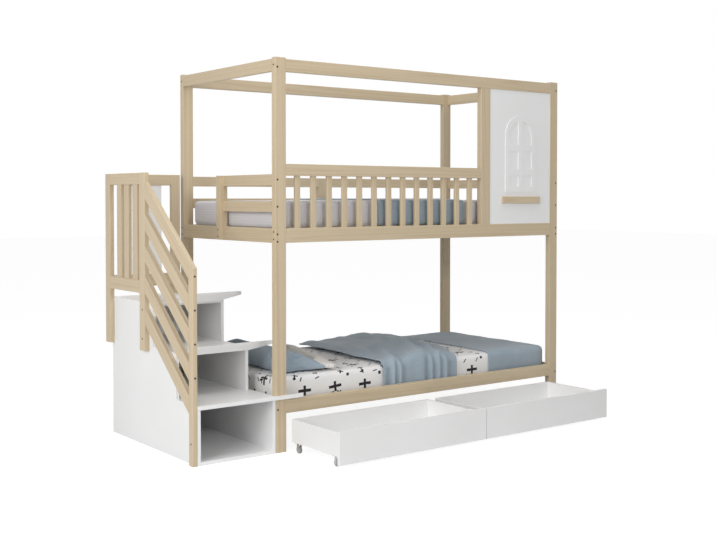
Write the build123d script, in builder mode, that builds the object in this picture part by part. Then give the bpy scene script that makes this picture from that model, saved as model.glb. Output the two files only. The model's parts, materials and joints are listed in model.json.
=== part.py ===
from build123d import *
import os

# Bunk bed with a storage staircase and two rolling drawers, in millimetres, +Z up.
# X runs along the bed, from the staircase end to the window end; Y runs from front to back.
# The origin is on the floor, below the middle of the whole outline with the drawers pulled out.

os.makedirs("parts", exist_ok=True)

# Mattresses
mattress_length = 2000.0
mattress_width = 900.0
mattress_thickness = 145.0
mattress_corner = 45.0
mattress_edge = 14.0
mattress_swell = 3.0
mattress_shoulder = 16.0
mattress_crown = 5.0
mattress_crown_inset = 110.0
mattress_end_gap = 15.0
mattress_side_gap = 30.0
soft_clearance = 0.4

# Bed frame timber
post_width = 64.0
post_depth = 36.0
post_height = 2025.0
end_rail_thickness = 25.0
top_rail_height = 64.0
top_rail_drop = 7.0
upper_rail_height = 75.0
upper_rail_bottom = 1077.0
lower_rail_height = 69.0
lower_rail_bottom = 199.0
timber_round = 2.0

# Slatted decks
slat_thickness = 16.0
slat_width = 70.0
slat_count = 13
slat_side_clearance = 1.0
cleat_depth = 25.0
cleat_height = 18.0
upper_cleat_rise = 39.0

# Front guard and window bay
guard_cap_bottom = 1422.0
guard_cap_height = 60.0
baluster_count = 13
baluster_width = 30.0
baluster_thickness = 18.0
baluster_end_gap = 64.2
window_post_width = 72.0
window_bay_width = 512.0
window_panel_thickness = 16.0
window_panel_recess = 4.0
window_width = 257.0
window_springing = 526.0
window_bottom = 190.0
window_frame_bar = 36.0
window_bar = 40.0
window_relief = 3.0
window_bar_heights = (311.5, 458.0)
sill_length = 318.0
sill_height = 41.0
sill_depth = 14.0
sill_bottom = 123.0

# Guards at the back and at the ends
back_guard_thickness = 25.0
guard_rail_height = 57.0
back_guard_heights = (1247.0, 1375.0)
end_guard_heights = (1234.0, 1372.0)
back_guard_post_width = 62.0
back_guard_post_place = 962.0
entry_post_width = 35.0
entry_post_place = 531.0
entry_post_lap = 25.0
entry_post_top = 1429.0
entry_post_foot = 1080.0

# Staircase carcass
stair_reach = 475.0
stair_depth = 980.0
handrail_thickness = 25.0
panel_thickness = 17.0
board_thickness = 18.0
carcass_gap = 2.0
upper_panel_inset = 28.0
step_heights = (294.0, 529.0, 758.0)
step_fronts = (0.0, 222.0, 478.0)
board_round = 1.0

# Tread nosings: height of the lip, depth of the apron below it and reach past the bed's end
nosing_depth = 18.0
nosing_strip = 18.0
nosing_lips = (0.0, 21.0, 38.0)
nosing_aprons = (0.0, 21.0, 28.0)
nosing_tails = (158.0, 108.0, 70.0)
nosing_taper = 140.0
apron_setback = 3.0

# Handrail
front_post_depth = 43.0
rail_pitch = 165.0
rail_height = 88.0
rail_rise = 0.815
rail_count = 5
rail_top_at_guard = 1391.0
guard_post_place = 522.0
guard_post_width = 66.0
guard_post_foot = 505.0
guard_post_top = 1440.0
rear_post_place = 957.0
rear_post_width = 61.0
platform_rail_height = 61.0
platform_low_rail_height = 69.0
platform_low_rail_bottom = 806.0
platform_slat_width = 56.0
platform_slat_thickness = 18.0
platform_slat_places = (30.0, 137.0, 229.0)
right_post_width = 55.0
right_post_inset = 30.0
rear_board_width = 80.0
rear_board_thickness = 16.0
rear_board_places = (61.0, 223.0)

# Bolts
bolt_head_radius = 5.0
bolt_head_depth = 4.0
bolt_radius = 3.0
bolt_clearance = 0.3
bolt_grip = 40.0
bolt_spread = 38.0
handrail_bolt_drop = 30.0
handrail_bolt_grip = 8.0
front_post_bolt_height = 108.0

# Rolling drawers
drawer_pull = 462.0
drawer_gap = 4.0
drawer_front_bottom = 17.0
drawer_front_height = 165.0
drawer_front_thickness = 18.0
drawer_box_depth = 417.0
drawer_wall_thickness = 12.0
drawer_wall_height = 118.0
drawer_bottom_thickness = 6.0
drawer_joint = 0.3
drawer_left_inset = 12.0
drawer_right_inset = 40.0
castor_height = 53.0
castor_inset_side = 17.0
castor_inset_end = 43.0
castor_plate_length = 36.0
castor_plate_width = 30.0
castor_plate_thickness = 2.5
castor_cheek = 2.0
castor_cheek_width = 18.0
castor_pin_radius = 2.5
castor_pin_overhang = 1.0
wheel_radius = 18.0
wheel_width = 14.0
wheel_round = 2.5
wheel_side_clearance = 0.5
wheel_bore_clearance = 0.05

# Bedding
blanket_thickness = 9.0
blanket_hem_rise = 3.0
pillow_length = 600.0
pillow_width = 370.0
pillow_thickness = 96.0
pillow_corner = 40.0
pillow_waist = 16.0
pillow_levels = ((0.0, 0.16), (0.2, 0.04), (0.45, 0.0), (0.75, 0.12), (1.0, 0.36))
pillow_space = 12.0
pillow_turn = -4.0
pillow_front = 26.0
small_pillow_length = 520.0
small_pillow_width = 205.0
small_pillow_thickness = 84.0
small_pillow_front = 200.0
duvet_start = 700.0
duvet_width = 650.0
duvet_side = 24.0
duvet_round = 26.0
duvet_edge_share = 0.5
duvet_heights = (34.0, 62.0, 46.0, 66.0, 40.0, 26.0)
duvet_folds = (0.0, 8.0, 1.0, 9.0, 2.0, 7.0)
foot_blanket_start = 1545.0
upper_blanket_start = 708.0
upper_blanket_width = 640.0

# Outline of the bed and of the staircase
bed_length = mattress_length + 2 * (mattress_end_gap + end_rail_thickness)
bed_width = mattress_width + 2 * (mattress_side_gap + post_depth)
bed_left = (stair_reach - bed_length) / 2
bed_right = bed_left + bed_length
bed_front = (drawer_pull - bed_width) / 2
bed_back = bed_front + bed_width
span_left = bed_left + post_width
span_right = bed_right - post_width
inner_front = bed_front + post_depth
inner_back = bed_back - post_depth
upper_rail_top = upper_rail_bottom + upper_rail_height
top_rail_top = post_height - top_rail_drop
top_rail_bottom = top_rail_top - top_rail_height
lower_slat_bottom = lower_rail_bottom + cleat_height
upper_slat_bottom = upper_rail_bottom + upper_cleat_rise + cleat_height
lower_deck = lower_slat_bottom + slat_thickness
upper_deck = upper_slat_bottom + slat_thickness
guard_cap_top = guard_cap_bottom + guard_cap_height
window_left = span_right - window_bay_width
window_post_left = window_left - window_post_width
handrail_outer = bed_left - stair_reach
handrail_inner = handrail_outer + handrail_thickness
carcass_inner = handrail_inner + panel_thickness
carcass_right = bed_left - carcass_gap
low_panel_left = carcass_right - board_thickness
upper_panel_right = carcass_right - upper_panel_inset
upper_panel_left = upper_panel_right - panel_thickness
carcass_back = bed_front + stair_depth
back_board_front = carcass_back - board_thickness
platform_rail_bottom = guard_post_top - platform_rail_height
platform_low_rail_top = platform_low_rail_bottom + platform_low_rail_height


def bar(x, y, z):
    """Add a straight bar to the part being built, from its low and high limit on each axis."""
    with Locations(((x[0] + x[1]) / 2, (y[0] + y[1]) / 2, (z[0] + z[1]) / 2)):
        Box(x[1] - x[0], y[1] - y[0], z[1] - z[0])


def finish(piece, name):
    """Label a finished piece and write it as its own file."""
    piece.part.label = name
    export_step(piece.part, f"parts/{name}.step")


# Bolts: every one has a place, the way its head looks and the length below its head.
LEFTWARD = Vector(-1, 0, 0)
RIGHTWARD = Vector(1, 0, 0)
FORWARD = Vector(0, -1, 0)
BACKWARD = Vector(0, 1, 0)

side_rail_bolt_heights = (
    (top_rail_bottom + top_rail_top) / 2,
    upper_rail_bottom + (upper_rail_height - bolt_spread) / 2,
    upper_rail_bottom + (upper_rail_height + bolt_spread) / 2,
    lower_rail_bottom + lower_rail_height / 2,
)
end_rail_bolt_rise = 4 * bolt_radius
corner_bolts = []
for post_y in (bed_front + post_depth / 2, bed_back - post_depth / 2):
    for height in side_rail_bolt_heights:
        corner_bolts.append((Vector(bed_left, post_y, height), LEFTWARD, post_width + bolt_grip))
        corner_bolts.append((Vector(bed_right, post_y, height), RIGHTWARD, post_width + bolt_grip))
for rail_x in (bed_left + end_rail_thickness / 2, bed_right - end_rail_thickness / 2):
    for height in side_rail_bolt_heights:
        lifted = height - end_rail_bolt_rise
        corner_bolts.append((Vector(rail_x, bed_front, lifted), FORWARD, post_depth + bolt_grip))
        corner_bolts.append((Vector(rail_x, bed_back, lifted), BACKWARD, post_depth + bolt_grip))
guard_bolts = []
for height in end_guard_heights:
    rail_middle = height + guard_rail_height / 2
    for rail_x, rail_y, way in (
        (bed_left + end_rail_thickness / 2, bed_front, FORWARD),
        (bed_right - end_rail_thickness / 2, bed_front, FORWARD),
        (bed_right - end_rail_thickness / 2, bed_back, BACKWARD),
    ):
        guard_bolts.append((Vector(rail_x, rail_y, rail_middle), way, post_depth + bolt_grip))
entry_post_middle = bed_front + entry_post_place + entry_post_width / 2
entry_bolts = [
    (Vector(bed_left - entry_post_lap, entry_post_middle, height), LEFTWARD, bolt_grip)
    for height in side_rail_bolt_heights[1:3]
]
frame_bolt_list = corner_bolts + guard_bolts + entry_bolts


def rail_top_line(index):
    """Height of a slanted rail's top edge where it meets the guard's front post."""
    return rail_top_at_guard - index * rail_pitch


front_post_back = bed_front + front_post_depth
guard_post_front = bed_front + guard_post_place
guard_post_back = guard_post_front + guard_post_width
slant_fall = rail_rise * (guard_post_place - front_post_depth)
handrail_middle = handrail_inner - handrail_thickness / 2
stair_bolt_list = []
for index in range(rail_count - 1):
    height = rail_top_line(index) - slant_fall - rail_height / 2 - handrail_bolt_drop
    length = front_post_depth + handrail_bolt_grip
    stair_bolt_list.append((Vector(handrail_middle, bed_front, height), FORWARD, length))
panel_bolt_length = handrail_thickness + panel_thickness / 2
guard_post_middle = guard_post_front + guard_post_width / 2
for height in (step_heights[1] + bolt_spread, step_heights[2] - bolt_spread):
    stair_bolt_list.append((Vector(handrail_outer, guard_post_middle, height), LEFTWARD, panel_bolt_length))
front_post_middle = bed_front + front_post_depth / 2
front_post_bolt = Vector(handrail_outer, front_post_middle, front_post_bolt_height)
stair_bolt_list.append((front_post_bolt, LEFTWARD, panel_bolt_length))


def bolt_solid(place, way, length, clearance=0.0):
    """One bolt, or with a clearance its hole, with the head sunk flush below the surface."""
    face = Plane(origin=place, z_dir=way)
    with BuildPart() as bolt:
        with BuildSketch(face):
            Circle(bolt_head_radius + clearance)
        extrude(amount=-bolt_head_depth)
        with BuildSketch(face):
            Circle(bolt_radius + clearance)
        extrude(amount=-length - clearance)
    return bolt.part


def drill(bolts):
    """Cut the holes of the listed bolts out of the part being built."""
    for place, way, length in bolts:
        add(bolt_solid(place, way, length, bolt_clearance), mode=Mode.SUBTRACT)


def near(bolts, x=None, y=None, z=None):
    """The listed bolts whose head lies within the given limits."""
    chosen = bolts
    if x is not None:
        chosen = [bolt for bolt in chosen if x[0] <= bolt[0].X <= x[1]]
    if y is not None:
        chosen = [bolt for bolt in chosen if y[0] <= bolt[0].Y <= y[1]]
    if z is not None:
        chosen = [bolt for bolt in chosen if z[0] <= bolt[0].Z <= z[1]]
    return chosen


def along(bolts, way):
    """The listed bolts that run the given way or straight against it."""
    return [bolt for bolt in bolts if abs(bolt[1].dot(way)) > 0.5]


bolts_along_x = along(corner_bolts, RIGHTWARD)
bolts_along_y = along(corner_bolts, BACKWARD)
whole_height = (0, post_height)

# Corner posts
for name, post_y in (
    ("front_posts", (bed_front, inner_front)),
    ("rear_posts", (inner_back, bed_back)),
):
    with BuildPart() as posts:
        bar((bed_left, span_left), post_y, whole_height)
        bar((span_right, bed_right), post_y, whole_height)
        fillet(posts.edges().filter_by(Axis.Z), timber_round)
        fillet(posts.faces().sort_by(Axis.Z)[-2:].edges(), timber_round)
        drill(near(corner_bolts + guard_bolts, y=post_y))
    finish(posts, name)

# Long rails at the three levels, between the posts
for name, rail_z in (
    ("top_side_rails", (top_rail_bottom, top_rail_top)),
    ("upper_side_rails", (upper_rail_bottom, upper_rail_top)),
    ("lower_side_rails", (lower_rail_bottom, lower_rail_bottom + lower_rail_height)),
):
    with BuildPart() as rails:
        bar((span_left, span_right), (bed_front, inner_front), rail_z)
        bar((span_left, span_right), (inner_back, bed_back), rail_z)
        fillet(rails.edges().filter_by(Axis.X), timber_round)
        drill(near(bolts_along_x, z=rail_z))
    finish(rails, name)

# Cross rails at the two ends, flush with the posts' outer faces
left_rail_x = (bed_left, bed_left + end_rail_thickness)
right_rail_x = (bed_right - end_rail_thickness, bed_right)
for name, rail_z in (
    ("top_end_rails", (top_rail_bottom, top_rail_top)),
    ("upper_end_rails", (upper_rail_bottom, upper_rail_top)),
    ("lower_end_rails", (lower_rail_bottom, lower_rail_bottom + lower_rail_height)),
):
    with BuildPart() as rails:
        bar(left_rail_x, (inner_front, inner_back), rail_z)
        bar(right_rail_x, (inner_front, inner_back), rail_z)
        fillet(rails.edges().filter_by(Axis.Y), timber_round)
        drill(near(bolts_along_y, z=rail_z))
        drill(near(entry_bolts, z=rail_z))
    finish(rails, name)

# Cleats along the inner faces of the side rails, and the slats that lie on them
with BuildPart() as slat_cleats:
    for slat_bottom in (lower_slat_bottom, upper_slat_bottom):
        cleat_z = (slat_bottom - cleat_height, slat_bottom)
        bar((span_left, span_right), (inner_front, inner_front + cleat_depth), cleat_z)
        bar((span_left, span_right), (inner_back - cleat_depth, inner_back), cleat_z)
finish(slat_cleats, "slat_cleats")

slat_length = inner_back - inner_front - 2 * slat_side_clearance
slat_pitch = (span_right - span_left - slat_width) / (slat_count - 1)
slat_middle_x = (bed_left + bed_right) / 2
slat_middle_y = (bed_front + bed_back) / 2
for name, slat_bottom in (("lower_slats", lower_slat_bottom), ("upper_slats", upper_slat_bottom)):
    with BuildPart() as slats:
        with BuildSketch(Plane.XY.offset(slat_bottom)):
            with Locations((slat_middle_x, slat_middle_y)):
                with GridLocations(slat_pitch, 0, slat_count, 1):
                    Rectangle(slat_width, slat_length)
        extrude(amount=slat_thickness)
    finish(slats, name)

# Front guard: cap rail, balusters and the post beside the window
guard_x = (span_left, window_post_left)
with BuildPart() as guard_cap:
    bar(guard_x, (bed_front, inner_front), (guard_cap_bottom, guard_cap_top))
    fillet(guard_cap.edges().filter_by(Axis.X), timber_round)
finish(guard_cap, "guard_cap")

baluster_span = guard_x[1] - guard_x[0] - 2 * baluster_end_gap - baluster_width
baluster_pitch = baluster_span / (baluster_count - 1)
with BuildPart() as guard_balusters:
    with BuildSketch(Plane.XY.offset(upper_rail_top)):
        with Locations(((guard_x[0] + guard_x[1]) / 2, bed_front + post_depth / 2)):
            with GridLocations(baluster_pitch, 0, baluster_count, 1):
                Rectangle(baluster_width, baluster_thickness)
    extrude(amount=guard_cap_bottom - upper_rail_top)
    fillet(guard_balusters.edges().filter_by(Axis.Z), timber_round)
finish(guard_balusters, "guard_balusters")

window_z = (upper_rail_top, top_rail_bottom)
with BuildPart() as window_post:
    bar((window_post_left, window_left), (bed_front, inner_front), window_z)
    fillet(window_post.edges().filter_by(Axis.Z), timber_round)
finish(window_post, "window_post")

# White panel with an arched window in low relief, and the small sill below it
panel_face = bed_front + window_panel_recess
window_middle = (window_left + span_right) / 2
face_plane = Plane(origin=(window_middle, panel_face, upper_rail_top), x_dir=(1, 0, 0), z_dir=(0, -1, 0))
arch_radius = window_width / 2
pane_radius = arch_radius - window_frame_bar
pane_bottom = window_bottom + window_frame_bar
with BuildPart() as window_panel:
    bar((window_left, span_right), (panel_face, panel_face + window_panel_thickness), window_z)
    with BuildSketch(face_plane) as relief:
        with BuildLine():
            Line((-arch_radius, window_springing), (-arch_radius, window_bottom))
            Line((-arch_radius, window_bottom), (arch_radius, window_bottom))
            Line((arch_radius, window_bottom), (arch_radius, window_springing))
            ThreePointArc(
                (arch_radius, window_springing),
                (0, window_springing + arch_radius),
                (-arch_radius, window_springing),
            )
        make_face()
        with BuildLine():
            Line((-pane_radius, window_springing), (-pane_radius, pane_bottom))
            Line((-pane_radius, pane_bottom), (pane_radius, pane_bottom))
            Line((pane_radius, pane_bottom), (pane_radius, window_springing))
            ThreePointArc(
                (pane_radius, window_springing),
                (0, window_springing + pane_radius),
                (-pane_radius, window_springing),
            )
        make_face(mode=Mode.SUBTRACT)
        opening_height = window_springing + pane_radius - pane_bottom
        with Locations((0, pane_bottom + opening_height / 2)):
            Rectangle(window_bar, opening_height)
        for bar_height in window_bar_heights:
            with Locations((0, bar_height)):
                Rectangle(2 * pane_radius, window_bar)
    extrude(amount=window_relief)
finish(window_panel, "window_panel")

sill_x = (window_middle - sill_length / 2, window_middle + sill_length / 2)
sill_z = (upper_rail_top + sill_bottom, upper_rail_top + sill_bottom + sill_height)
with BuildPart() as window_sill:
    bar(sill_x, (panel_face - sill_depth, panel_face), sill_z)
    fillet(window_sill.faces().sort_by(Axis.Y)[0].edges(), timber_round)
finish(window_sill, "window_sill")

# Guard along the back of the upper bed, with one post at its middle
back_post_x = (bed_left + back_guard_post_place, bed_left + back_guard_post_place + back_guard_post_width)
back_guard_y = (inner_back, inner_back + back_guard_thickness)
with BuildPart() as back_guard_rails:
    for height in back_guard_heights:
        bar((span_left, back_post_x[0]), back_guard_y, (height, height + guard_rail_height))
        bar((back_post_x[1], span_right), back_guard_y, (height, height + guard_rail_height))
    fillet(back_guard_rails.edges().filter_by(Axis.X), timber_round)
finish(back_guard_rails, "back_guard_rails")

with BuildPart() as back_guard_post:
    bar(back_post_x, (inner_back, bed_back), (upper_rail_top, max(back_guard_heights) + guard_rail_height))
    fillet(back_guard_post.edges().filter_by(Axis.Z), timber_round)
finish(back_guard_post, "back_guard_post")

with BuildPart() as right_guard_rails:
    for height in end_guard_heights:
        bar(right_rail_x, (inner_front, inner_back), (height, height + guard_rail_height))
    fillet(right_guard_rails.edges().filter_by(Axis.Y), timber_round)
    drill(near(guard_bolts, x=right_rail_x))
finish(right_guard_rails, "right_guard_rails")

# Guard beside the entry: its post laps over the cross rail and takes two short rails
entry_y = (bed_front + entry_post_place, bed_front + entry_post_place + entry_post_width)
with BuildPart() as entry_post:
    bar((bed_left - entry_post_lap, bed_left), entry_y, (entry_post_foot, entry_post_top))
    bar(left_rail_x, entry_y, (upper_rail_top, entry_post_top))
    drill(entry_bolts)
finish(entry_post, "entry_post")

with BuildPart() as entry_rails:
    for height in end_guard_heights:
        bar(left_rail_x, (inner_front, entry_y[0]), (height, height + guard_rail_height))
    fillet(entry_rails.edges().filter_by(Axis.Y), timber_round)
    drill(near(guard_bolts, x=left_rail_x))
finish(entry_rails, "entry_rails")


# Staircase carcass: a stepped side panel, boards that run over the right-hand panels, and backs
storey_floors = (board_thickness, step_heights[0], step_heights[1])
step_lines = [bed_front + front for front in step_fronts]
with BuildPart() as stair_side_left:
    with BuildSketch(Plane.YZ.offset(handrail_inner)):
        with BuildLine():
            Polyline(
                (step_lines[0], 0),
                (step_lines[0], step_heights[0]),
                (step_lines[1], step_heights[0]),
                (step_lines[1], step_heights[1]),
                (step_lines[2], step_heights[1]),
                (step_lines[2], step_heights[2]),
                (carcass_back, step_heights[2]),
                (carcass_back, 0),
                close=True,
            )
        make_face()
    extrude(amount=panel_thickness)
    drill(along(stair_bolt_list, LEFTWARD))
finish(stair_side_left, "stair_side_left")

with BuildPart() as stair_side_right:
    bar((low_panel_left, carcass_right), (step_lines[0], carcass_back), (0, step_heights[0] - board_thickness))
    for index in (1, 2):
        panel_z = (storey_floors[index], step_heights[index] - board_thickness)
        bar((upper_panel_left, upper_panel_right), (step_lines[index], carcass_back), panel_z)
finish(stair_side_right, "stair_side_right")

with BuildPart() as stair_bottom_board:
    bar((carcass_inner, low_panel_left), (step_lines[0], carcass_back), (0, board_thickness))
finish(stair_bottom_board, "stair_bottom_board")

board_right = (carcass_right, upper_panel_right, upper_panel_right)
for name, indexes in (("stair_treads", (0, 1)), ("stair_platform", (2,))):
    with BuildPart() as boards:
        for index in indexes:
            board_z = (step_heights[index] - board_thickness, step_heights[index])
            bar((carcass_inner, board_right[index]), (step_lines[index], carcass_back), board_z)
        fillet(boards.faces().group_by(Axis.Z)[-1].edges().filter_by(Axis.X), board_round)
    finish(boards, name)

back_right = (low_panel_left, upper_panel_left, upper_panel_left)
with BuildPart() as stair_back:
    for floor, height, right in zip(storey_floors, step_heights, back_right):
        bar((carcass_inner, right), (back_board_front, carcass_back), (floor, height - board_thickness))
finish(stair_back, "stair_back")

# Nosings: a strip along each tread's front edge that runs on past the bed's end to a point
with BuildPart() as stair_nosings:
    for line, height, lip, apron, tail in zip(
        step_lines, step_heights, nosing_lips, nosing_aprons, nosing_tails
    ):
        strip_top = height + lip
        strip_bottom = strip_top - nosing_strip
        tip = bed_left + tail
        bar((handrail_inner, tip), (line - nosing_depth, line), (strip_bottom, strip_top))
        if apron > 0:
            with BuildSketch(Plane(origin=(0, line, 0), x_dir=(1, 0, 0), z_dir=(0, -1, 0))):
                with BuildLine():
                    Polyline(
                        (handrail_inner, strip_bottom),
                        (tip, strip_bottom),
                        (tip - nosing_taper, strip_bottom - apron),
                        (handrail_inner, strip_bottom - apron),
                        close=True,
                    )
                make_face()
            extrude(amount=nosing_depth - apron_setback)
    fillet(stair_nosings.edges().filter_by(Axis.X).group_by(Axis.Y)[0], board_round)
finish(stair_nosings, "stair_nosings")

# Handrail: the front post, the guard's posts around the platform and the slanted rails
rail_foot = rail_top_line(0) - slant_fall
with BuildPart() as stair_front_post:
    with BuildSketch(Plane.YZ.offset(handrail_outer)):
        with BuildLine():
            Polyline(
                (bed_front, 0),
                (bed_front, rail_foot - rail_rise * front_post_depth),
                (front_post_back, rail_foot),
                (front_post_back, 0),
                close=True,
            )
        make_face()
    extrude(amount=handrail_thickness)
    fillet(stair_front_post.edges().filter_by(Axis.Z), timber_round)
    drill(stair_bolt_list)
finish(stair_front_post, "stair_front_post")

handrail_x = (handrail_outer, handrail_inner)
rear_post_y = (bed_front + rear_post_place, bed_front + rear_post_place + rear_post_width)
right_post_x = (bed_left - right_post_inset - right_post_width, bed_left - right_post_inset)
rear_guard_y = (carcass_back, carcass_back + handrail_thickness)
guard_post_z = (guard_post_foot, guard_post_top)
with BuildPart() as platform_posts:
    bar(handrail_x, (guard_post_front, guard_post_back), guard_post_z)
    bar(handrail_x, rear_post_y, guard_post_z)
    bar(right_post_x, rear_guard_y, guard_post_z)
    fillet(platform_posts.edges().filter_by(Axis.Z), timber_round)
    drill(stair_bolt_list)
finish(platform_posts, "platform_posts")

with BuildPart() as slanted_rails:
    with BuildSketch(Plane.YZ.offset(handrail_outer)):
        for index in range(rail_count):
            top = rail_top_line(index)
            with BuildLine():
                Polyline(
                    (front_post_back, top - slant_fall),
                    (guard_post_front, top),
                    (guard_post_front, top - rail_height),
                    (front_post_back, top - slant_fall - rail_height),
                    close=True,
                )
            make_face()
    extrude(amount=handrail_thickness)
    fillet(slanted_rails.edges().filter_by(lambda edge: edge.length > slant_fall), timber_round)
    drill(stair_bolt_list)
finish(slanted_rails, "slanted_rails")

platform_rail_z = (platform_rail_bottom, guard_post_top)
platform_low_rail_z = (platform_low_rail_bottom, platform_low_rail_top)
platform_rail_y = (guard_post_back, rear_post_y[0])
with BuildPart() as platform_rails:
    bar(handrail_x, platform_rail_y, platform_rail_z)
    bar(handrail_x, platform_rail_y, platform_low_rail_z)
    fillet(platform_rails.edges().filter_by(Axis.Y), timber_round)
finish(platform_rails, "platform_rails")

infill_z = (platform_low_rail_top, platform_rail_bottom)
slat_x = (handrail_middle - platform_slat_thickness / 2, handrail_middle + platform_slat_thickness / 2)
with BuildPart() as platform_slats:
    for place in platform_slat_places:
        slat_front = guard_post_back + place
        bar(slat_x, (slat_front, slat_front + platform_slat_width), infill_z)
    fillet(platform_slats.edges().filter_by(Axis.Z), timber_round)
finish(platform_slats, "platform_slats")

rear_rail_x = (handrail_inner, right_post_x[0])
with BuildPart() as rear_guard_rails:
    bar(rear_rail_x, rear_guard_y, platform_rail_z)
    bar(rear_rail_x, rear_guard_y, platform_low_rail_z)
    fillet(rear_guard_rails.edges().filter_by(Axis.X), timber_round)
finish(rear_guard_rails, "rear_guard_rails")

rear_board_middle = (rear_guard_y[0] + rear_guard_y[1]) / 2
rear_board_y = (rear_board_middle - rear_board_thickness / 2, rear_board_middle + rear_board_thickness / 2)
with BuildPart() as rear_guard_boards:
    for place in rear_board_places:
        board_left = handrail_inner + place
        bar((board_left, board_left + rear_board_width), rear_board_y, infill_z)
    fillet(rear_guard_boards.edges().filter_by(Axis.Z), board_round)
finish(rear_guard_boards, "rear_guard_boards")

# Bolts of the bed frame and of the staircase, with their heads flush
for name, bolts in (("frame_bolts", frame_bolt_list), ("stair_bolts", stair_bolt_list)):
    with BuildPart() as bolt_group:
        for place, way, length in bolts:
            add(bolt_solid(place, way, length))
    finish(bolt_group, name)

# Drawers, drawn out as far as they roll in use, with four castors each
drawer_front_width = (span_right - span_left - 3 * drawer_gap) / 2
drawer_face = bed_front - drawer_pull
drawer_box_front = drawer_face + drawer_front_thickness
drawer_box_back = drawer_box_front + drawer_box_depth
fork_plate_bottom = castor_height - castor_plate_thickness
fork_gap = wheel_width + 2 * wheel_side_clearance
fork_width = fork_gap + 2 * castor_cheek
pin_length = fork_width + 2 * castor_pin_overhang
drawer_starts = {
    "left": span_left + drawer_gap,
    "right": span_left + 2 * drawer_gap + drawer_front_width,
}
for side, start in drawer_starts.items():
    box_left = start + drawer_left_inset
    box_right = start + drawer_front_width - drawer_right_inset
    wall_y = (drawer_box_front, drawer_box_back)
    wall_z = (castor_height, castor_height + drawer_wall_height)

    with BuildPart() as drawer_front:
        front_z = (drawer_front_bottom, drawer_front_bottom + drawer_front_height)
        bar((start, start + drawer_front_width), (drawer_face, drawer_box_front), front_z)
        fillet(drawer_front.faces().sort_by(Axis.Y)[0].edges(), board_round)
    finish(drawer_front, f"{side}_drawer_front")

    with BuildPart() as drawer_walls:
        bar((box_left, box_left + drawer_wall_thickness), wall_y, wall_z)
        bar((box_right - drawer_wall_thickness, box_right), wall_y, wall_z)
        inside_x = (box_left + drawer_wall_thickness, box_right - drawer_wall_thickness)
        back_x = (inside_x[0] + drawer_joint, inside_x[1] - drawer_joint)
        bar(back_x, (drawer_box_back - drawer_wall_thickness, drawer_box_back), wall_z)
        fillet(drawer_walls.faces().group_by(Axis.Z)[-1].edges().filter_by(Axis.Y), board_round)
    finish(drawer_walls, f"{side}_drawer_walls")

    with BuildPart() as drawer_bottom:
        bottom_y = (drawer_box_front, drawer_box_back - drawer_wall_thickness)
        bar(inside_x, bottom_y, (castor_height, castor_height + drawer_bottom_thickness))
    finish(drawer_bottom, f"{side}_drawer_bottom")

    castor_places = {
        "front_left": (box_left + castor_inset_side, drawer_box_front + castor_inset_end),
        "front_right": (box_right - castor_inset_side, drawer_box_front + castor_inset_end),
        "back_left": (box_left + castor_inset_side, drawer_box_back - castor_inset_end),
        "back_right": (box_right - castor_inset_side, drawer_box_back - castor_inset_end),
    }
    with BuildPart() as castor_forks:
        for x, y in castor_places.values():
            plate_x = (x - castor_plate_width / 2, x + castor_plate_width / 2)
            plate_y = (y - castor_plate_length / 2, y + castor_plate_length / 2)
            bar(plate_x, plate_y, (fork_plate_bottom, castor_height))
            for cheek_left in (x - fork_width / 2, x + fork_gap / 2):
                with BuildSketch(Plane.YZ.offset(cheek_left)):
                    with Locations((y, wheel_radius)):
                        Circle(castor_cheek_width / 2)
                    with Locations((y, (wheel_radius + fork_plate_bottom) / 2)):
                        Rectangle(castor_cheek_width, fork_plate_bottom - wheel_radius)
                extrude(amount=castor_cheek)
            with BuildSketch(Plane.YZ.offset(x - pin_length / 2)):
                with Locations((y, wheel_radius)):
                    Circle(castor_pin_radius)
            extrude(amount=pin_length)
    finish(castor_forks, f"{side}_castor_forks")

    for corner, (x, y) in castor_places.items():
        with BuildPart() as wheel:
            with BuildSketch(Plane.YZ.offset(x - wheel_width / 2)):
                with Locations((y, wheel_radius)):
                    Circle(wheel_radius)
            extrude(amount=wheel_width)
            fillet(wheel.edges().filter_by(GeomType.CIRCLE), wheel_round)
            with BuildSketch(Plane.YZ.offset(x - wheel_width / 2)):
                with Locations((y, wheel_radius)):
                    Circle(castor_pin_radius + wheel_bore_clearance)
            extrude(amount=wheel_width, mode=Mode.SUBTRACT)
        finish(wheel, f"{side}_wheel_{corner}")

# Bedding
mattress_left = bed_left + end_rail_thickness + mattress_end_gap
mattress_front = inner_front + mattress_side_gap
mattress_middle = (mattress_left + mattress_length / 2, mattress_front + mattress_width / 2)


def mattress_form(deck, grow=0.0):
    """A mattress on a deck, with sides that swell between its edges and a crowned top."""
    side_height = mattress_thickness + grow - mattress_crown
    sides = (
        (0.0, mattress_edge),
        (mattress_shoulder, mattress_swell),
        (side_height / 2, 0.0),
        (side_height - mattress_shoulder, mattress_swell),
        (side_height, mattress_edge),
    )
    with BuildPart() as form:
        for rise, inset in sides:
            with BuildSketch(Plane.XY.offset(deck + rise)):
                with Locations(mattress_middle):
                    RectangleRounded(
                        mattress_length + 2 * (grow - inset),
                        mattress_width + 2 * (grow - inset),
                        mattress_corner + grow - inset,
                    )
        loft()
        for rise, inset in ((side_height, mattress_edge), (side_height + mattress_crown, mattress_crown_inset)):
            with BuildSketch(Plane.XY.offset(deck + rise)):
                with Locations(mattress_middle):
                    RectangleRounded(
                        mattress_length + 2 * (grow - inset),
                        mattress_width + 2 * (grow - inset),
                        mattress_corner + grow - mattress_edge,
                    )
        loft()
    return form.part


for name, deck in (("mattress_lower", lower_deck), ("mattress_upper", upper_deck)):
    with BuildPart() as mattress:
        add(mattress_form(deck + soft_clearance))
    finish(mattress, name)


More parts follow.
